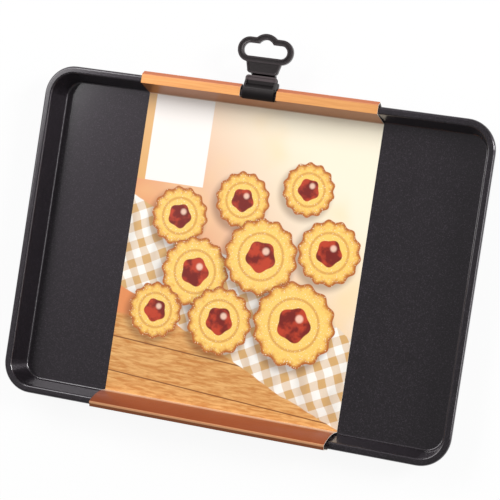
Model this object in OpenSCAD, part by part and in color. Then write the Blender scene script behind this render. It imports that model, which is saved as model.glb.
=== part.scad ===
// Jelly roll pan with a folded board sleeve and a two-part hang clip.
// The pan stands level, its long side along X, and the clip grips the rim on the +Y side.
// The origin lies under the centre of the pan, on the surface that the sleeve rests on.

/* [Pan] */
// Length over the rim
pan_l = 340; // [260:5:420]
// Width over the rim
pan_w = 240; // [200:5:300]
// Height from the underside to the top of the rim
pan_h = 20; // [18:1:26]
// Thickness of the pressed sheet
sheet_t = 0.8; // [0.6:0.1:1]
// Outer radius of the corners, seen from above
corner_r = 22; // [18:1:30]
// Lean of the side walls, in degrees from upright
wall_draft = 12.5; // [8:0.5:15]
// Inner radius where a wall meets the base
base_fillet_r = 1.4; // [1:0.1:2]

/* [Rolled rim] */
// Width of the roll
rim_w = 5.6; // [5:0.1:6.5]
// Height of the roll
rim_h = 4.2; // [3.8:0.1:5]
// Radius of the shoulder towards the inside of the pan
rim_in_r = 1.5; // [1.2:0.1:1.8]
// Radius of the outer shoulder
rim_out_r = 1.9; // [1.5:0.1:2.2]
// Radius of the turn at the bottom of the roll
rim_low_r = 1.6; // [1.3:0.1:1.8]
// Length of the edge that is turned back in under the roll
rim_tail = 2.4; // [2:0.1:3]

/* [Sleeve] */
// Width of the band, along the pan
sleeve_w = 178.8; // [120:1:200]
// Distance from the centre of the pan to the centre of the band
sleeve_x = -5.9; // [-20:0.1:20]
// Thickness of the board
board_t = 0.4; // [0.3:0.05:0.5]
// Width of the glued overlap under the pan
glue_w = 16; // [10:1:25]
// Distance from the centre to the middle of the glued overlap
seam_y = 70; // [30:1:90]
// Height of the flat band above the rim
band_lift = 0.6; // [0.4:0.1:2]
// Distance that the band reaches out past the rim beside the clip
band_reach = 2.8; // [2:0.1:4]
// Drop of the bevel between the flat band and the outer panel
bevel_drop = 3.2; // [2:0.1:4]
// Height of the slack fold above the rim, on the side away from the clip
slack_lift = 6.9; // [4:0.1:9]
// Distance from the edge of the rim in to the slack fold
slack_in = 2.8; // [2:0.1:4]
// Drop from the slack fold to the edge of its bevel
slack_drop = 1.6; // [1:0.1:2.5]
// Bow of the slack panel, measured from its chord
slack_bow = 2.2; // [1:0.1:3]

/* [Clip] */
// Distance from the centre of the pan to the centre of the clip
clip_x = -5.55; // [-20:0.05:20]
// Width of the jaws along the rim
jaw_w = 23.6; // [20:0.1:28]
// Play between the clip and the notch in the band, at each side
notch_play = 1.9; // [1:0.1:3]
// Distance from the rim to the hinge line
pivot_out = 4.8; // [4.4:0.1:5.5]
// Depth of the hinge line below the top of the rim
pivot_drop = 4.5; // [4.3:0.1:4.8]
// Radius of the hinge pegs
peg_r = 0.9; // [0.8:0.05:1]
// Length of a hinge peg
peg_l = 1.6; // [1.2:0.1:2]
// Radius of the hinge knuckle
knuckle_r = 1.7; // [1.6:0.05:1.8]
// Length of the thumb plate from the hinge line
thumb_l = 5.55; // [5:0.05:5.8]
// Thickness of the thumb plate
thumb_t = 1.5; // [1.2:0.1:1.6]
// Depth of the face of the thumb plate below the top of the rim
thumb_drop = 1.5; // [1.3:0.1:1.7]
// Radius of the corners of the thumb plate
thumb_corner_r = 2.2; // [1.5:0.1:3]
// Thickness of the side cheeks
cheek_t = 1.5; // [1.2:0.1:1.8]
// Radius of the roll that covers the rim
roll_r = 6.7; // [6.5:0.1:7]
// Height of the crown of the roll above the rim
roll_rise = 2; // [1.8:0.1:2.4]
// Distance from the edge of the rim in to the crown of the roll
roll_in = 1.5; // [1.2:0.1:1.8]
// Depth of the gripping lip below the top of the rim
lip_drop = 2.1; // [1.6:0.1:2.4]
// Thickness of the gripping lip
lip_t = 1; // [0.8:0.1:1.4]
// Thickness of the hook under the rim
hook_t = 2.5; // [2:0.1:2.8]
// Radius of the rounded heel of the rear jaw
heel_r = 1.9; // [1.8:0.05:2.1]
// Depth of the heel below the hook
heel_drop = 1.3; // [0.8:0.1:1.6]

/* [Hanger head] */
// Thickness of the head
head_t = 2.6; // [2.2:0.1:3.2]
// Width of the hang slot
slot_w = 33; // [30:0.5:36]
// Height of the hang slot at its ends
slot_h = 9.2; // [8:0.1:11]
// Radius of the arch over the middle of the slot
arch_r = 6.5; // [5.5:0.1:8]
// Rise of the arch above the slot
arch_rise = 3.1; // [2:0.1:4]
// Width of the ring round the slot
ring_w = 4.3; // [3.5:0.1:5.5]
// Distance from the rim to the middle of the slot
slot_out = 28.3; // [27:0.1:32]
// Distance from the rim to the lower edge of the head
head_out = 11.7; // [11.4:0.1:12.4]
// Depth of the underside of the head below the top of the rim
head_drop = 3.5; // [3.2:0.1:4]
// Width of the name panel at its top
panel_w = 28.2; // [26:0.1:30]
// Width of the name panel at its foot
panel_low_w = 23.2; // [21:0.1:25]
// Radius of the lower corners of the name panel
panel_r = 2.6; // [2:0.1:3.4]
// Width of the beads along the edges of the ring and the panel
bead_w = 1.3; // [0.9:0.1:1.6]
// Width of the neck between head and jaws
neck_w = 18.3; // [14:0.1:20]
// Thickness of the neck
neck_t = 2; // [1.6:0.1:2.4]
// Depth of the moulded grooves and recesses
relief = 0.5; // [0.3:0.05:0.8]

/* [Fit] */
// Gap between the pan and the board under and inside it
board_gap = 0.05; // [0.05:0.05:0.2]
// Gap between the clip and the rim that it holds
grip_gap = 0.3; // [0.2:0.05:0.5]
// Radial clearance of the hinge pegs
peg_clear = 0.06; // [0.03:0.01:0.1]
// Gap between the hinge cheeks and the knuckle
cheek_gap = 0.2; // [0.15:0.05:0.3]
// Gap between the pan's inner shoulder and the board that leans on it
shoulder_gap = 0.15; // [0.1:0.05:0.3]
// Gap between the outer panel on the slack side and the roll of the rim
wrap_gap = 0.3; // [0.3:0.05:0.5]
// Gap between the lip of the clip and the edge of the notch below it
lip_room = 0.5; // [0.3:0.1:1]
// Gap between the hook of the clip and the edge of the notch below it
hook_room = 1.2; // [0.8:0.1:2]

/* [Hidden] */
$fn = 96;
arc_steps = 8;

// Heights, from the surface that the sleeve rests on
pan_z = 2 * board_t + board_gap;
floor_z = pan_z + sheet_t;
rim_z = pan_z + pan_h;
rim_y = pan_w / 2;

// Places on the clip, as y and z
pivot = [rim_y + pivot_out, rim_z - pivot_drop];
thumb_z = rim_z - thumb_drop;
thumb_end = pivot[0] + thumb_l;
roll_c = [rim_y - roll_in, rim_z + roll_rise - roll_r];
lip_y = rim_y - rim_w - grip_gap - lip_t;
hook_z = rim_z - rim_h - grip_gap - hook_t;
heel_c = [pivot[0], hook_z - heel_drop + heel_r];
neck_z = hook_z - 0.6;
head_y = rim_y + head_out;
head_z = rim_z - head_drop;
slot_y = rim_y + slot_out;

// Unit vector at an angle, and an arc from angle a to angle b
function dir(a) = [cos(a), sin(a)];
function arc(c, r, a, b, n = arc_steps) = [for (i = [0:n]) c + r * dir(a + (b - a) * i / n)];
function reversed(p) = [for (i = [len(p) - 1:-1:0]) p[i]];

// Section of the sheet: u is the distance in from the edge of the rim, and z the height
wall_n = dir(wall_draft);
in_c = [rim_w - rim_in_r, pan_h - rim_in_r];
out_c = [rim_out_r, pan_h - rim_out_r];
low_c = [rim_low_r, pan_h - rim_h + rim_low_r];
wall_top = in_c + rim_in_r * wall_n;
fillet_z = sheet_t + base_fillet_r;
base_inset = wall_top[0] + (base_fillet_r - (fillet_z - wall_top[1]) * wall_n[1]) / wall_n[0];
fillet_c = [base_inset, fillet_z];

// One face of the sheet, at depth d behind the face that food touches
function sheet_face(d) = concat(
    arc(fillet_c, base_fillet_r + d, 270, 180 + wall_draft),
    arc(in_c, rim_in_r - d, wall_draft, 90),
    arc(out_c, rim_out_r - d, 90, 180),
    arc(low_c, rim_low_r - d, 180, 270),
    [[low_c[0] + rim_tail, pan_h - rim_h + d]]
);
sheet_section = concat(sheet_face(0), reversed(sheet_face(sheet_t)));

// Section across one wall, with its rim r from the axis of a corner or the middle of the pan
module wall_section(r) {
    polygon([for (p = sheet_section) [r - p[0], p[1]]]);
}

// Straight wall of length l, with its rim at distance r along +Y
module straight_wall(r, l) {
    rotate([90, 0, 90])
        linear_extrude(l, center = true)
            wall_section(r);
}

module pan() {
    long_l = pan_l - 2 * corner_r;
    short_l = pan_w - 2 * corner_r;
    base_corner_r = corner_r - base_inset;
    color("#4b474c")
        translate([0, 0, pan_z]) {
            linear_extrude(sheet_t) {
                square([pan_l - 2 * base_inset, short_l], center = true);
                square([long_l, pan_w - 2 * base_inset], center = true);
                for (x = [-1, 1], y = [-1, 1])
                    translate([x * long_l / 2, y * short_l / 2])
                        circle(base_corner_r);
            }
            for (a = [0, 180])
                rotate(a) {
                    straight_wall(pan_w / 2, long_l);
                    rotate(90)
                        straight_wall(pan_l / 2, short_l);
                    translate([long_l / 2, short_l / 2])
                        rotate_extrude(angle = 90)
                            wall_section(corner_r);
                    translate([-long_l / 2, short_l / 2])
                        rotate(90)
                            rotate_extrude(angle = 90)
                                wall_section(corner_r);
                }
        }
}

// Folded strip: the face towards the pan follows path p, and the board lies to its right
function unit(v) = v / norm(v);
function left_of(v) = [-v[1], v[0]];
function heading(p, i) = unit(p[i + 1] - p[i]);
function mitre(p, i, d) =
    let (
        last = len(p) - 1,
        a = left_of(heading(p, max(i - 1, 0))),
        b = left_of(heading(p, min(i, last - 1))),
        m = unit(a + b)
    ) p[i] + m * d / (m * a);
function strip(p, t) = concat(p, [for (i = [len(p) - 1:-1:0]) mitre(p, i, -t)]);

// Folds on the clip side, as y and z, from the glued flap to the inside of the pan
crease_y = rim_y - base_inset;
under_y = crease_y + base_fillet_r + sheet_t + 0.6;
band_z = rim_z + band_lift;
floor_fold = [crease_y, floor_z + board_gap];

// The wall panel leans on the shoulder of the rim, and ends at the flat band
to_shoulder = [rim_y - in_c[0], pan_z + in_c[1]] - floor_fold;
lean = atan2(to_shoulder[0], to_shoulder[1]) - asin((rim_in_r + shoulder_gap) / norm(to_shoulder));
rim_fold = [crease_y + (band_z - floor_fold[1]) * tan(lean), band_z];
bevel_fold = [rim_y + band_reach - 2.2, band_z];
reach_fold = [rim_y + band_reach, band_z - bevel_drop];
clip_side = [
    [seam_y - glue_w / 2, 2 * board_t],
    [under_y, 2 * board_t],
    reach_fold,
    bevel_fold,
    rim_fold,
    floor_fold
];

// Slack side: the panel bows up from the base, and its fold stands above the rim
slack_fold = [-rim_y + slack_in, rim_z + slack_lift];
slack_chord = slack_fold - [-crease_y, floor_fold[1]];
slack_r = norm(slack_chord) ^ 2 / (8 * slack_bow) + slack_bow / 2;
slack_half = asin(norm(slack_chord) / (2 * slack_r));
slack_turn = atan2(slack_chord[0], slack_chord[1]);
slack_c = [-crease_y, floor_fold[1]] + slack_chord / 2
    + (slack_bow - slack_r) * [cos(slack_turn), -sin(slack_turn)];
slack_side = concat(
    [floor_fold],
    arc(slack_c, slack_r, -slack_turn - slack_half, -slack_turn + slack_half, 12),
    [
        [-rim_y - wrap_gap, slack_fold[1] - slack_drop],
        [-rim_y - 2 * wrap_gap, rim_z - rim_h / 2],
        [-under_y, board_t],
        [seam_y + glue_w / 2, board_t]
    ]
);

// Notch that lets the jaws reach the rim
notch_w = jaw_w + 2 * notch_play;
notch_in_z = rim_z - lip_drop - lip_room;
notch_low_z = hook_z - hook_room;

module sleeve() {
    color("#d98c50")
        difference() {
            translate([sleeve_x, 0])
                rotate([90, 0, 90])
                    linear_extrude(sleeve_w, center = true) {
                        polygon(strip(clip_side, board_t));
                        polygon(strip(slack_side, board_t));
                    }
            translate([clip_x - notch_w / 2, 0]) {
                translate([0, crease_y, notch_in_z])
                    cube([notch_w, 2 * rim_w, pan_h]);
                translate([0, rim_y - rim_w / 2, notch_low_z])
                    cube([notch_w, 2 * rim_w, pan_h]);
            }
        }
}

// Extrudes a section in y and z along the rim, w wide and centred on the clip
module along_rim(w) {
    rotate([90, 0, 90])
        linear_extrude(w, center = true)
            children();
}

// Outline of the rolled rim, grown by g, and open downwards towards the pan
module rim_shape(g) {
    translate([rim_y - in_c[0], pan_z + in_c[1]])
        circle(rim_in_r + g);
    translate([rim_y - out_c[0], pan_z + out_c[1]])
        circle(rim_out_r + g);
    translate([rim_y - in_c[0], rim_z - rim_h])
        square([in_c[0] - out_c[0], rim_h + g]);
    translate([rim_y - rim_w - g, rim_z - rim_h * 2])
        square([rim_w + 2 * g, rim_h * 2 - rim_out_r]);
}

// Roll over the rim, with the lip that hooks behind its inner shoulder
module roll_section() {
    difference() {
        translate(roll_c)
            circle(roll_r);
        rim_shape(grip_gap);
        translate([lip_y - roll_r, rim_z - 3 * roll_r])
            square([roll_r, 5 * roll_r]);
        translate([lip_y - roll_r, rim_z - 3 * roll_r])
            square([rim_y + grip_gap - lip_y + roll_r, 3 * roll_r - lip_drop]);
        translate([rim_y, thumb_z - thumb_t - 3 * roll_r])
            square([2 * roll_r, 3 * roll_r]);
    }
}

// Side cheek: a rib from the thumb plate up to the roll, and the ear that carries a peg
module cheek_section() {
    polygon([
        [thumb_end, thumb_z + relief],
        [pivot[0] + knuckle_r, thumb_z + relief],
        [rim_y + roll_in, rim_z + roll_rise - 0.7],
        [rim_y + roll_in, thumb_z - thumb_t],
        [pivot[0] - knuckle_r, pivot[1]],
        [pivot[0] + knuckle_r, pivot[1]],
        [thumb_end, thumb_z - thumb_t]
    ]);
    translate(pivot)
        circle(knuckle_r);
}

module front_jaw() {
    color("#4a464a")
        translate([clip_x, 0]) {
            difference() {
                union() {
                    along_rim(jaw_w)
                        difference() {
                            union() {
                                roll_section();
                                translate([rim_y + roll_in, thumb_z - thumb_t])
                                    square([thumb_end - rim_y - roll_in, thumb_t]);
                                translate([thumb_end - bead_w, thumb_z - thumb_t])
                                    square([bead_w, thumb_t + relief]);
                            }
                            translate(pivot)
                                circle(knuckle_r + cheek_gap);
                        }
                    for (x = [-1, 1])
                        translate([x * (jaw_w - cheek_t) / 2, 0])
                            along_rim(cheek_t)
                                cheek_section();
                }
                for (x = [-1, 1])
                    translate([x * (jaw_w / 2 - thumb_corner_r), thumb_end - thumb_corner_r, pivot[1]])
                        linear_extrude(pivot_drop)
                            difference() {
                                translate([min(x, 0) * 2 * thumb_corner_r, 0])
                                    square(2 * thumb_corner_r);
                                circle(thumb_corner_r);
                            }
            }
            for (x = [-1, 1])
                translate([x * (jaw_w / 2 - cheek_t - peg_l / 2), 0])
                    along_rim(peg_l)
                        translate(pivot)
                            circle(peg_r);
        }
}

// Outline of the hang slot, grown by g
module slot_shape(g) {
    translate([0, slot_y]) {
        square([slot_w - slot_h, slot_h + 2 * g], center = true);
        for (x = [-1, 1])
            translate([x * (slot_w - slot_h) / 2, 0])
                circle(slot_h / 2 + g);
        intersection() {
            translate([0, slot_h / 2 + arch_rise - arch_r])
                circle(arch_r + g);
            translate([-arch_r - g, 0])
                square([2 * (arch_r + g), slot_h + arch_rise + g]);
        }
    }
}

// Outline of the name panel, drawn in by g
module panel_shape(g) {
    top_y = slot_y - slot_h / 2;
    difference() {
        union() {
            polygon([
                [-panel_w / 2 + g, top_y],
                [-panel_low_w / 2 + g, head_y + panel_r],
                [-panel_low_w / 2 + panel_r, head_y + g],
                [panel_low_w / 2 - panel_r, head_y + g],
                [panel_low_w / 2 - g, head_y + panel_r],
                [panel_w / 2 - g, top_y]
            ]);
            for (x = [-1, 1])
                translate([x * (panel_low_w / 2 - panel_r), head_y + panel_r])
                    circle(panel_r - g);
        }
        if (g > 0)
            slot_shape(ring_w);
    }
}

// Section of the rear jaw: the knuckle above its rounded heel, and the hook under the rim
module rear_section() {
    translate(pivot)
        circle(knuckle_r);
    translate(heel_c)
        circle(heel_r);
    translate([pivot[0] - knuckle_r, heel_c[1]])
        square([2 * knuckle_r, pivot[1] - heel_c[1]]);
    translate([rim_y - rim_w + relief, hook_z])
        square([pivot_out + rim_w - relief, hook_t]);
}

// The same section below the cheeks of the front jaw, where the rear jaw has its full width
module heel_section() {
    intersection() {
        rear_section();
        translate([rim_y - rim_w, hook_z - pan_h])
            square([pivot_out + 2 * rim_w, pivot[1] - knuckle_r - cheek_gap - hook_z + pan_h]);
    }
}

// Section of the neck, which steps up from the rear jaw to the head
module neck_section() {
    polygon([
        [pivot[0], neck_z],
        [head_y - 0.6, neck_z],
        [head_y + panel_r, head_z],
        [head_y + panel_r, head_z + neck_t],
        [head_y + 0.3, head_z + neck_t],
        [head_y - 1, neck_z + neck_t],
        [pivot[0], neck_z + neck_t]
    ]);
}

module hanger() {
    knuckle_w = jaw_w - 2 * (cheek_t + cheek_gap);
    socket_l = peg_l - cheek_gap + 0.2;
    color("#2e2c2e")
        translate([clip_x, 0]) {
            difference() {
                translate([0, 0, head_z])
                    linear_extrude(head_t)
                        difference() {
                            union() {
                                slot_shape(ring_w);
                                panel_shape(0);
                            }
                            slot_shape(0);
                        }
                translate([0, 0, head_z + head_t - relief])
                    linear_extrude(head_t) {
                        difference() {
                            slot_shape(ring_w - bead_w);
                            slot_shape(bead_w);
                        }
                        panel_shape(bead_w);
                    }
            }
            along_rim(neck_w)
                neck_section();
            along_rim(jaw_w)
                heel_section();
            difference() {
                along_rim(knuckle_w)
                    rear_section();
                for (x = [-1, 1])
                    translate([x * (knuckle_w - socket_l) / 2, 0])
                        along_rim(socket_l)
                            translate(pivot)
                                circle(peg_r + peg_clear);
            }
        }
}

pan();
sleeve();
hanger();
front_jaw();
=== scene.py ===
import math

import bpy
from mathutils import Matrix, Vector


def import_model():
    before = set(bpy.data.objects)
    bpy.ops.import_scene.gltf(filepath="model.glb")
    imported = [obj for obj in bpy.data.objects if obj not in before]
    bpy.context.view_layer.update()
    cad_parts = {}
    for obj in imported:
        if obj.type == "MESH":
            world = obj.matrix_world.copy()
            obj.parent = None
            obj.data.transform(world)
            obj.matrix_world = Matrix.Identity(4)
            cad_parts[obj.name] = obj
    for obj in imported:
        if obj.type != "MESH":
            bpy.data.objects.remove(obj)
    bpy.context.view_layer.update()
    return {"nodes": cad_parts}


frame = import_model()
nodes = frame["nodes"]
MM = 0.001


def srgb(*values):
    """Linear colour of an sRGB colour given as 0 to 255, with an alpha of 1."""
    return tuple(
        v / 255 / 12.92 if v <= 10 else ((v / 255 + 0.055) / 1.055) ** 2.4 for v in values
    ) + (1,)


class Graph:
    """The nodes of one material, with short names for the maths."""

    def __init__(self, name):
        self.material = bpy.data.materials.new(name)
        self.material.use_nodes = True
        self.tree = self.material.node_tree
        self.tree.nodes.clear()
        self.output = self.new("ShaderNodeOutputMaterial")
        self.shader = self.new("ShaderNodeBsdfPrincipled")
        self.link(self.shader.outputs[0], self.output.inputs["Surface"])

    def new(self, kind, **settings):
        node = self.tree.nodes.new(kind)
        for key, value in settings.items():
            setattr(node, key, value)
        return node

    def link(self, source, target):
        self.tree.links.new(source, target)

    def feed(self, socket, value):
        """Links a socket to a node's output, or sets it to a plain value."""
        if isinstance(value, bpy.types.NodeSocket):
            self.link(value, socket)
        else:
            socket.default_value = value

    def set(self, **values):
        """Feeds the shader's sockets, with _ for each space in a socket's name."""
        for key, value in values.items():
            self.feed(self.shader.inputs[key.replace("_", " ")], value)

    def math(self, operation, *values):
        node = self.new("ShaderNodeMath", operation=operation)
        for socket, value in zip(node.inputs, values):
            self.feed(socket, value)
        return node.outputs[0]

    def add(self, a, b):
        return self.math("ADD", a, b)

    def sub(self, a, b):
        return self.math("SUBTRACT", a, b)

    def mul(self, a, b):
        return self.math("MULTIPLY", a, b)

    def high(self, a, b):
        return self.math("MAXIMUM", a, b)

    def absolute(self, a):
        return self.math("ABSOLUTE", a)

    def above(self, a, b):
        return self.math("GREATER_THAN", a, b)

    def below(self, a, b):
        return self.math("LESS_THAN", a, b)

    def invert(self, a):
        return self.sub(1.0, a)

    def length(self, a, b):
        return self.math("SQRT", self.add(self.mul(a, a), self.mul(b, b)))

    def all(self, first, *others):
        """1 where every mask is 1."""
        for other in others:
            first = self.mul(first, other)
        return first

    def zigzag(self, value, half_period, start):
        """Runs from 0 up to half_period and back, over and over; start keeps value above 0."""
        return self.math("PINGPONG", self.add(value, start), half_period)

    def step(self, value, start, end):
        """0 at start and 1 at end, smooth between; the two may be given in either order."""
        node = self.new("ShaderNodeMapRange", interpolation_type="SMOOTHSTEP")
        low, high, turned = (start, end, False) if start < end else (end, start, True)
        self.feed(node.inputs["Value"], value)
        node.inputs["From Min"].default_value = low
        node.inputs["From Max"].default_value = high
        node.inputs["To Min"].default_value = 1.0 if turned else 0.0
        node.inputs["To Max"].default_value = 0.0 if turned else 1.0
        return node.outputs["Result"]

    def mix(self, factor, a, b):
        """Colour a where the factor is 0, and b where it is 1."""
        node = self.new("ShaderNodeMix", data_type="RGBA")
        self.feed(node.inputs[0], factor)
        self.feed(node.inputs[6], a)
        self.feed(node.inputs[7], b)
        return node.outputs[2]

    def place(self):
        """Object coordinates in millimetres, as a vector and as x, y and z."""
        scaled = self.new("ShaderNodeVectorMath", operation="SCALE")
        self.link(self.new("ShaderNodeTexCoord").outputs["Object"], scaled.inputs[0])
        scaled.inputs["Scale"].default_value = 1 / MM
        split = self.new("ShaderNodeSeparateXYZ")
        self.link(scaled.outputs[0], split.inputs[0])
        return scaled.outputs[0], *split.outputs

    def normal(self):
        """The surface's direction in object space, as x, y and z."""
        split = self.new("ShaderNodeSeparateXYZ")
        self.link(self.new("ShaderNodeTexCoord").outputs["Normal"], split.inputs[0])
        return tuple(split.outputs)

    def noise(self, point, per_mm, detail=2.0, roughness=0.5, distortion=0.0):
        node = self.new("ShaderNodeTexNoise")
        self.link(point, node.inputs["Vector"])
        node.inputs["Scale"].default_value = per_mm
        node.inputs["Detail"].default_value = detail
        node.inputs["Roughness"].default_value = roughness
        node.inputs["Distortion"].default_value = distortion
        return node.outputs[0]

    def stretched(self, point, x, y, z):
        node = self.new("ShaderNodeVectorMath", operation="MULTIPLY")
        self.link(point, node.inputs[0])
        node.inputs[1].default_value = (x, y, z)
        return node.outputs[0]

    def bump(self, height, distance_mm, strength=1.0):
        node = self.new("ShaderNodeBump")
        node.inputs["Strength"].default_value = strength
        node.inputs["Distance"].default_value = distance_mm * MM
        self.link(height, node.inputs["Height"])
        self.link(node.outputs[0], self.shader.inputs["Normal"])


# Pan and clip
def coated_steel():
    """Satin charcoal non-stick coating with a fleck in two sizes."""
    coarse_share, fleck_share = 0.3, 0.36
    roughness, uneven = 0.33, 0.1
    charcoal, pale_charcoal, grey = srgb(7, 6, 7), srgb(13, 11, 13), srgb(84, 77, 85)
    g = Graph("coated_steel")
    point = g.place()[0]
    fine = g.step(g.noise(point, per_mm=1.5, detail=1.0, roughness=0.6), 0.55, 0.72)
    coarse = g.step(g.noise(point, per_mm=0.62, detail=1.0, roughness=0.6), 0.56, 0.7)
    fleck = g.high(fine, g.mul(coarse, coarse_share))
    tone = g.mix(g.noise(point, per_mm=0.02, detail=3.0), charcoal, pale_charcoal)
    g.set(Base_Color=g.mix(g.mul(fleck, fleck_share), tone, grey))
    g.set(Roughness=g.add(roughness, g.mul(g.noise(point, per_mm=0.05), uneven)))
    g.set(Coat_Weight=0.85, Coat_Roughness=0.1, Coat_Tint=(1, 0.94, 1, 1), Coat_IOR=1.6)
    g.set(Specular_IOR_Level=0.36, Specular_Tint=(1, 0.9, 1, 1))
    g.bump(g.noise(point, per_mm=1.1, detail=3.0, roughness=0.6), distance_mm=0.05, strength=0.5)
    return g.material


def moulded(name, tone, pale, painted_highlight, raised_y, raised_z, roughness, grain_mm, coat):
    """Moulded plastic with a fine grain.

    Where it stands raised, past raised_y and up near raised_z in mm, it is painted a paler
    colour: a painted highlight on the raised faces, which in the real plastic are the colour of
    the rest.
    """
    painted_highlight_share, uneven = 0.8, 0.12
    g = Graph(name)
    point, _, y, z = g.place()
    raised_up = g.step(z, raised_z - 0.35, raised_z - 0.05)
    raised = g.mul(raised_up, g.step(y, raised_y, raised_y + 0.4))
    body = g.mix(g.noise(point, per_mm=0.25, detail=3.0), tone, pale)
    # Painted highlight: the raised faces are coloured paler than the body.
    g.set(Base_Color=g.mix(g.mul(raised, painted_highlight_share), body, painted_highlight))
    g.set(Roughness=g.add(roughness, g.mul(g.noise(point, per_mm=0.4, detail=3.0), uneven)))
    g.set(Coat_Weight=coat, Coat_Roughness=0.16)
    g.set(Specular_IOR_Level=0.26, Specular_Tint=(1, 0.9, 0.9, 1))
    g.bump(g.noise(point, per_mm=3.0), grain_mm)
    return g.material


# The picture on the band's floor panel, in mm from the pan's middle
WOOD_FAR, WOOD_NEAR = -56.0, -60.0
PLANK_HALF = 12.5
CLOTH_NEAR, CLOTH_FAR = -73.5, -6.5
CHECK_HALF = 7.0
BISCUITS = [  # centre, radius and turn in radians, the far ones first
    ((-58, 24), 21, 0.4), ((-12, 42), 20, 1.2), ((36, 56), 19, 2.1),
    ((-40, -14), 25, 0.0), ((58, 14), 23, 0.8), ((8, 4), 27, 1.7),
    ((-66, -46), 20, 2.4), ((40, -40), 30, 0.3), ((-16, -46), 24, 1.1),
]
LABEL_LEFT, LABEL_RIGHT, LABEL_FOOT = -89.25, -43.75, 46.55
LABEL_BLUR = 0.15


def soft_background(g, point, x, y):
    """Warm orange at the left to cream at the top right, with a faint glow."""
    across = g.step(g.add(g.mul(x, 0.7), g.mul(y, 0.6)), -70.0, 85.0)
    colour = g.mix(across, srgb(226, 140, 84), srgb(246, 237, 214))
    glow = g.mul(g.step(g.noise(point, per_mm=0.018), 0.45, 0.8), 0.5)
    return g.mix(glow, colour, srgb(250, 214, 150))


def wooden_board(g, point, x, y, colour):
    """Planks along the foot of the picture."""
    board_y = g.add(y, g.mul(x, 0.06))
    along = g.stretched(point, 0.25, 1.6, 1.0)
    grain = g.noise(along, per_mm=0.35, detail=4.0, roughness=0.6, distortion=0.4)
    wood = g.mix(g.step(grain, 0.3, 0.72), srgb(196, 128, 62), srgb(232, 180, 112))
    seam = g.step(g.zigzag(board_y, PLANK_HALF, start=100.0), 0.7, 0.1)
    wood = g.mix(seam, wood, srgb(128, 76, 34))
    return g.mix(g.step(board_y, WOOD_FAR, WOOD_NEAR), colour, wood)


def checked_cloth(g, point, x, y, colour):
    """A checked cloth across the middle, with wavy stripes and soft folds."""
    sway_mm, edge_sway_mm = 5.0, 10.0
    sway = g.sub(g.noise(point, per_mm=0.03, detail=3.0), 0.5)
    u, v = g.add(x, g.mul(sway, sway_mm)), g.add(y, g.mul(sway, sway_mm))

    def stripe(across):
        return g.step(g.zigzag(across, CHECK_HALF, start=300.0), 3.2, 3.8)

    stripes_down = stripe(g.add(u, g.mul(v, 0.5)))
    stripes_across = stripe(g.sub(v, g.mul(u, 0.5)))
    check = g.mul(g.add(stripes_down, stripes_across), 0.5)
    cloth = g.mix(check, srgb(250, 247, 240), srgb(214, 170, 110))
    fold = g.noise(g.stretched(point, 1.0, 0.35, 1.0), per_mm=0.05)
    cloth = g.mix(g.mul(g.step(fold, 0.45, 0.7), 0.3), cloth, srgb(150, 120, 96))
    height = g.add(g.add(g.mul(x, 0.42), y), g.mul(sway, edge_sway_mm))
    inside = g.mul(
        g.step(height, CLOTH_NEAR - 0.5, CLOTH_NEAR + 0.5),
        g.step(height, CLOTH_FAR + 0.5, CLOTH_FAR - 0.5),
    )
    return g.mix(inside, colour, cloth)


def disc(g, x, y, centre, radius, petals=0, depth=0.0, turn=0.0):
    """Distance from a round or scalloped outline, in mm: below 0 inside."""
    dx, dy = g.sub(x, centre[0]), g.sub(y, centre[1])
    away = g.length(dx, dy)
    if not petals:
        return g.sub(away, radius)
    wave = g.math("COSINE", g.add(g.mul(g.math("ARCTAN2", dy, dx), petals), turn))
    return g.sub(away, g.add(radius, g.mul(wave, depth)))


def jam_biscuits(g, point, x, y, colour):
    """Scalloped biscuits with a ring, sugar and a spot of jam, each with its shadow."""
    golden, toasted, browned = srgb(250, 206, 108), srgb(220, 146, 56), srgb(178, 96, 34)
    crumb = g.noise(point, per_mm=0.45, detail=5.0, roughness=0.65)
    sugar = g.mul(g.step(g.noise(point, per_mm=0.9), 0.6, 0.68), 0.7)
    clear = g.step(g.noise(point, per_mm=0.12, detail=3.0), 0.42, 0.62)
    fruit = g.mix(clear, srgb(120, 26, 16), srgb(190, 62, 34))
    for centre, radius, turn in BISCUITS:
        shadow = disc(g, x, y, (centre[0] - 2.2, centre[1] - 3.2), radius * 1.06)
        colour = g.mix(g.mul(g.step(shadow, 3.0, -4.0), 0.5), colour, srgb(92, 48, 22))

        rim = disc(g, x, y, centre, radius, petals=14, depth=radius * 0.04, turn=turn)
        baked = g.mix(g.step(g.add(crumb, g.mul(rim, 0.05)), 0.15, 0.6), golden, toasted)
        baked = g.mix(g.step(rim, -3.5, -0.4), baked, browned)
        ring = g.step(g.absolute(disc(g, x, y, centre, radius * 0.62)), 1.5, 0.3)
        baked = g.mix(g.mul(ring, 0.55), baked, srgb(196, 118, 44))
        baked = g.mix(sugar, baked, srgb(255, 243, 214))

        shine_at = (centre[0] + radius * 0.12, centre[1] + radius * 0.16)
        shine = g.step(disc(g, x, y, shine_at, radius * 0.08), 1.4, -0.6)
        jam = g.mix(g.mul(shine, 0.8), fruit, srgb(255, 214, 190))
        jam_edge = disc(g, x, y, centre, radius * 0.4, petals=5, depth=radius * 0.03, turn=turn)
        baked = g.mix(g.step(jam_edge, 0.5, -0.3), baked, jam)
        colour = g.mix(g.step(rim, 0.35, -0.35), colour, baked)
    return colour


def bare_label(g, x, y, colour):
    """A bare label panel, with a gold strip at its left."""
    def past(value, place):
        return g.step(value, place - LABEL_BLUR, place + LABEL_BLUR)

    def before(value, place):
        return g.step(value, place + LABEL_BLUR, place - LABEL_BLUR)

    above_foot = past(y, LABEL_FOOT)
    panel = g.all(past(x, LABEL_LEFT), before(x, LABEL_RIGHT), above_foot)
    colour = g.mix(g.mul(panel, 0.9), colour, srgb(250, 247, 244))
    strip = g.all(before(x, LABEL_LEFT), above_foot)
    return g.mix(g.mul(strip, 0.75), colour, srgb(226, 178, 108))


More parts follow.
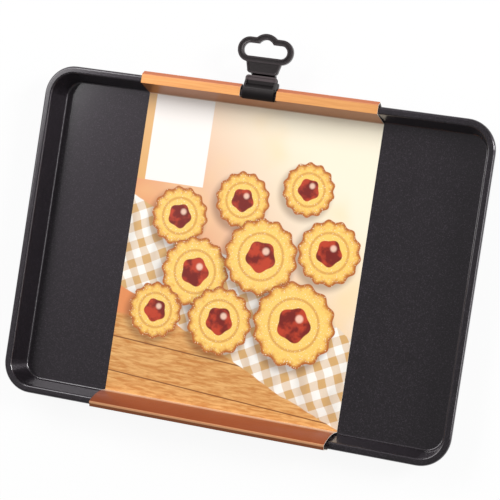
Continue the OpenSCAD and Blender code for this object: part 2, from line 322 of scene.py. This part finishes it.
def picture(g, point, x, y):
    """A made-up scene: jam biscuits on a cloth and a wooden board."""
    colour = soft_background(g, point, x, y)
    colour = wooden_board(g, point, x, y, colour)
    colour = checked_cloth(g, point, x, y, colour)
    colour = jam_biscuits(g, point, x, y, colour)
    return bare_label(g, x, y, colour)


# The band's folds, in mm: how far out from the middle, and the height
CREASE_OUT = 109.3
UNDER_PAN_Z = 1.2
BEVEL_TOP = (120.6, 21.45)
BEVEL_FOOT = (122.8, 18.25)
SLACK_FOLD = (117.6, 27.95)
# The line between inner and outer panels, and how far it leans out for each mm of height
DIVIDE_OUT, DIVIDE_LEAN = 110.7, 0.27
# Heights at which the copper's painted light and shade change: the band's top, the wall below it,
# the slack panel
TOP_FROM_Z, WALL_UP_TO_Z, SLACK_FROM_Z = 20.25, 21.1, 2.6


def board_sides(g, out, y, z):
    """Masks of the outer panels, of the part under the pan, and of the printed side."""
    side = g.math("SIGN", y)
    nx, ny, nz = g.normal()
    facing_out = g.mul(ny, side)

    # The outer panels are printed where they face out, and the inner ones where they face in
    divide = g.add(DIVIDE_OUT, g.mul(g.sub(z, UNDER_PAN_Z), DIVIDE_LEAN))
    outer = g.above(out, divide)
    facing_in = g.mul(facing_out, -1.0)
    leaning = g.add(g.mul(outer, facing_out), g.mul(g.invert(outer), facing_in))

    # Level panels are printed on top, and under the pan on the underside
    under = g.below(z, UNDER_PAN_Z)
    level = g.above(g.absolute(nz), 0.8)
    level_print = g.add(
        g.mul(under, g.below(nz, 0.0)), g.mul(g.invert(under), g.above(nz, 0.0))
    )
    printed = g.add(
        g.mul(level, level_print), g.mul(g.invert(level), g.step(leaning, 0.0, 0.05))
    )
    cut_end = g.above(g.absolute(nx), 0.5)
    return outer, under, g.mul(printed, g.invert(cut_end)), nz


def copper_print(g, point, out, y, z, outer, nz):
    """Copper colour, a little uneven, with a tone for each panel that paints light and shade:
    paler on the band's top, its own tone on the wall below, darker on the slack side. Folds are
    paler: wear and a painted highlight on the bevel folds, a painted highlight on the slack fold.
    """
    wear_and_highlight_share = 0.6
    streak = g.noise(
        g.stretched(point, 0.05, 2.2, 2.2), per_mm=0.5, detail=3.0, roughness=0.6
    )
    uneven = g.add(g.mul(g.noise(point, per_mm=0.02, detail=3.0), 0.6), g.mul(streak, 0.4))
    clip_side = g.step(y, -1.0, 1.0)
    slack_side = g.invert(clip_side)
    inner = g.invert(outer)

    colour = g.mix(uneven, srgb(186, 100, 58), srgb(198, 112, 66))
    faces_up = g.step(nz, 0.9, 0.95)
    # Painted light: the band's top is a paler copper than its other faces.
    painted_lit_top = g.all(clip_side, faces_up, g.step(z, TOP_FROM_Z - 0.25, TOP_FROM_Z + 0.25))
    painted_top_light = g.mix(g.step(streak, 0.35, 0.65), srgb(226, 154, 90), srgb(238, 170, 102))
    colour = g.mix(painted_lit_top, colour, painted_top_light)
    # Painted light: the wall below the top gets a copper tone of its own, standing for how it is
    # lit.
    painted_wall_light = g.all(clip_side, inner, g.step(z, WALL_UP_TO_Z + 0.2, WALL_UP_TO_Z - 0.2))
    colour = g.mix(painted_wall_light, colour, srgb(178, 116, 72))
    # Painted shade: the slack side's inner panels are a darker copper.
    painted_slack_shade = g.all(slack_side, inner, g.step(z, SLACK_FROM_Z - 0.4, SLACK_FROM_Z + 0.4))
    colour = g.mix(painted_slack_shade, colour, g.mix(uneven, srgb(146, 72, 40), srgb(160, 82, 46)))
    # Painted shade: the slack side's outer panel is a darker copper.
    colour = g.mix(g.mul(slack_side, outer), colour, srgb(150, 86, 52))

    def fold_at(fold, width):
        away = g.length(g.sub(out, fold[0]), g.sub(z, fold[1]))
        return g.step(away, width, width * 0.3)

    # The bevel folds are paler in patches: partly wear, partly a painted highlight.
    bevel_folds = g.high(fold_at(BEVEL_TOP, 0.8), fold_at(BEVEL_FOOT, 0.5))
    patches = g.step(g.noise(point, per_mm=0.3, detail=3.0), 0.15, 0.55)
    worn_and_highlit = g.all(clip_side, bevel_folds, patches)
    colour = g.mix(g.mul(worn_and_highlit, wear_and_highlight_share), colour, srgb(232, 156, 108))
    # Painted highlight: a pale line along the slack side's fold.
    return g.mix(g.mul(slack_side, fold_at(SLACK_FOLD, 1.3)), colour, srgb(250, 184, 134))


def printed_board():
    """Varnished board: copper outside, a picture on the floor panel, raw white edges and back."""
    varnish_roughness, varnish_uneven, raw_roughness = 0.3, 0.1, 0.85
    metallic, crease_share, ripple_share = 0.35, 0.6, 12.0
    g = Graph("board")
    point, x, y, z = g.place()
    out = g.absolute(y)
    outer, under, printed, nz = board_sides(g, out, y, z)
    on_top = g.invert(under)

    colour = copper_print(g, point, out, y, z, outer, nz)
    floor_panel = g.mul(g.step(out, CREASE_OUT - 0.1, CREASE_OUT - 0.4), on_top)
    colour = g.mix(floor_panel, colour, picture(g, point, x, y))
    crease = g.mul(g.step(g.absolute(g.sub(out, CREASE_OUT - 0.2)), 0.5, 0.1), on_top)
    colour = g.mix(g.mul(crease, crease_share), colour, srgb(238, 216, 196))
    pulp = g.mix(g.noise(point, per_mm=0.8, detail=4.0), srgb(236, 230, 222), srgb(208, 200, 190))
    g.set(Base_Color=g.mix(printed, pulp, colour))

    varnish = g.add(varnish_roughness, g.mul(g.noise(point, per_mm=0.08), varnish_uneven))
    raw = g.mul(g.invert(printed), raw_roughness)
    g.set(Roughness=g.add(g.mul(printed, varnish), raw))
    g.set(Metallic=g.mul(g.mul(printed, g.invert(floor_panel)), metallic))
    ripple = g.noise(g.stretched(point, 1.0, 0.5, 1.0), per_mm=0.035)
    fibre = g.noise(point, per_mm=2.0, detail=3.0)
    g.bump(g.add(g.mul(ripple, ripple_share), fibre), distance_mm=0.02)
    return g.material


def dress(name, material):
    """Gives a CAD node one material all over."""
    node = nodes[name]
    node.data.materials.clear()
    node.data.materials.append(material)
    for face in node.data.polygons:
        face.material_index = 0


WELD_MM = 0.002
SHARP_FROM_DEGREES = 38


def soften(name, width_mm):
    """Rounds a moulded node's sharp edges a little, so that they catch the light."""
    node = nodes[name]
    weld = node.modifiers.new("weld", "WELD")
    weld.merge_threshold = WELD_MM * MM
    bevel = node.modifiers.new("round", "BEVEL")
    bevel.width = width_mm * MM
    bevel.segments = 2
    bevel.limit_method = "ANGLE"
    bevel.angle_limit = math.radians(SHARP_FROM_DEGREES)
    bevel.harden_normals = False
    smooth = node.modifiers.new("normals", "WEIGHTED_NORMAL")
    smooth.keep_sharp = False


dress("pan", coated_steel())
dress("sleeve", printed_board())
# The raised borders and thumb plate get a painted highlight colour; the real clip is one colour.
dress("hanger", moulded(
    "gloss_black", tone=srgb(22, 18, 19), pale=srgb(30, 26, 27), painted_highlight=srgb(52, 45, 47),
    raised_y=130.0, raised_z=19.95, roughness=0.26, grain_mm=0.006, coat=0.5,
))
dress("front_jaw", moulded(
    "satin_black", tone=srgb(12, 10, 11), pale=srgb(20, 17, 18), painted_highlight=srgb(84, 74, 76),
    raised_y=126.6, raised_z=19.4, roughness=0.42, grain_mm=0.015, coat=0.05,
))
soften("hanger", 0.16)
soften("front_jaw", 0.2)


# Studio: sizes and places in metres, power in watts
FLOOR_SIZE, FLOOR_Z = 14.0, -0.0006
FLOOR_GREY = (0.86, 0.86, 0.86, 1)
FLOOR_SHOWS_SHADOW = 0.08
WORLD_WHITE = (1, 1, 1, 1)
WORLD_STRENGTH = 0.24
LAMPS = {  # place, size and power
    "key": ((1.75, 0.8, 1.15), 0.7, 40),
    "side": ((1.85, 0.0, 0.8), 0.5, 4),
    "soft": ((-0.8, 1.4, 1.2), 0.5, 8),
    "sky": ((-1.2, 0.62, 1.3), 1.2, 18.5),
}


def plane(name, size, height):
    mesh = bpy.data.meshes.new(name)
    half = size / 2
    outline = ((-half, -half), (half, -half), (half, half), (-half, half))
    mesh.from_pydata([(x, y, height) for x, y in outline], [], [(0, 1, 2, 3)])
    made = bpy.data.objects.new(name, mesh)
    bpy.context.scene.collection.objects.link(made)
    return made


def empty_tree(owner):
    """The node tree of a material or world, cleared."""
    owner.use_nodes = True
    owner.node_tree.nodes.clear()
    return owner.node_tree


def seen_factor(tree):
    """1 for camera, glossy and transmission rays."""
    path = tree.nodes.new("ShaderNodeLightPath")
    total = path.outputs["Is Camera Ray"]
    for name in ("Is Glossy Ray", "Is Transmission Ray"):
        most = tree.nodes.new("ShaderNodeMath")
        most.operation = "MAXIMUM"
        tree.links.new(total, most.inputs[0])
        tree.links.new(path.outputs[name], most.inputs[1])
        total = most.outputs[0]
    return total


def studio_paper():
    """Matte paper that looks white to the camera and keeps a share of the shadow."""
    paper = bpy.data.materials.new("studio_paper")
    tree = empty_tree(paper)
    matte = tree.nodes.new("ShaderNodeBsdfDiffuse")
    matte.inputs["Color"].default_value = FLOOR_GREY
    white = tree.nodes.new("ShaderNodeEmission")
    white.inputs["Strength"].default_value = 1.0
    share = tree.nodes.new("ShaderNodeMath")
    share.operation = "MULTIPLY"
    share.inputs[1].default_value = 1 - FLOOR_SHOWS_SHADOW
    blend = tree.nodes.new("ShaderNodeMixShader")
    out = tree.nodes.new("ShaderNodeOutputMaterial")
    tree.links.new(seen_factor(tree), share.inputs[0])
    tree.links.new(share.outputs[0], blend.inputs[0])
    tree.links.new(matte.outputs[0], blend.inputs[1])
    tree.links.new(white.outputs[0], blend.inputs[2])
    tree.links.new(blend.outputs[0], out.inputs["Surface"])
    return paper


def lamp(name, place, size, watts):
    """A square lamp that points at the pan's middle."""
    light = bpy.data.lights.new(name, "AREA")
    light.shape = "SQUARE"
    light.size = size
    light.energy = watts
    made = bpy.data.objects.new(name, light)
    made.location = place
    made.rotation_euler = (-Vector(place)).to_track_quat("-Z", "Y").to_euler()
    bpy.context.scene.collection.objects.link(made)


floor = plane("studio_floor", FLOOR_SIZE, FLOOR_Z)
floor.data.materials.append(studio_paper())

world = bpy.data.worlds.new("studio")
bpy.context.scene.world = world
tree = empty_tree(world)
ambient = tree.nodes.new("ShaderNodeBackground")
ambient.inputs["Color"].default_value = WORLD_WHITE
ambient.inputs["Strength"].default_value = WORLD_STRENGTH
out = tree.nodes.new("ShaderNodeOutputWorld")
tree.links.new(ambient.outputs[0], out.inputs["Surface"])

for name, (place, size, watts) in LAMPS.items():
    lamp(name, place, size, watts)


# Camera: its place and directions come from fitting the pan's sides and corners
LENS_MM, SENSOR_MM = 161.6, 36
CAMERA_PLACE = (0.54132, 0.03548, 1.50666)
CAMERA_RIGHT = (0.92916, 0.15063, -0.33760)
CAMERA_UP = (-0.14758, 0.98844, 0.03486)
FARTHEST_SEEN = 20

camera_data = bpy.data.cameras.new("camera")
camera_data.lens = LENS_MM
camera_data.sensor_width = SENSOR_MM
camera_data.clip_end = FARTHEST_SEEN
camera = bpy.data.objects.new("camera", camera_data)
right = Vector(CAMERA_RIGHT).normalized()
up = Vector(CAMERA_UP)
up = (up - right * up.dot(right)).normalized()
turn = Matrix((right, up, right.cross(up))).transposed().to_4x4()
camera.matrix_world = Matrix.Translation(CAMERA_PLACE) @ turn
bpy.context.scene.collection.objects.link(camera)
bpy.context.scene.camera = camera

bpy.context.scene.view_settings.view_transform = "Standard"
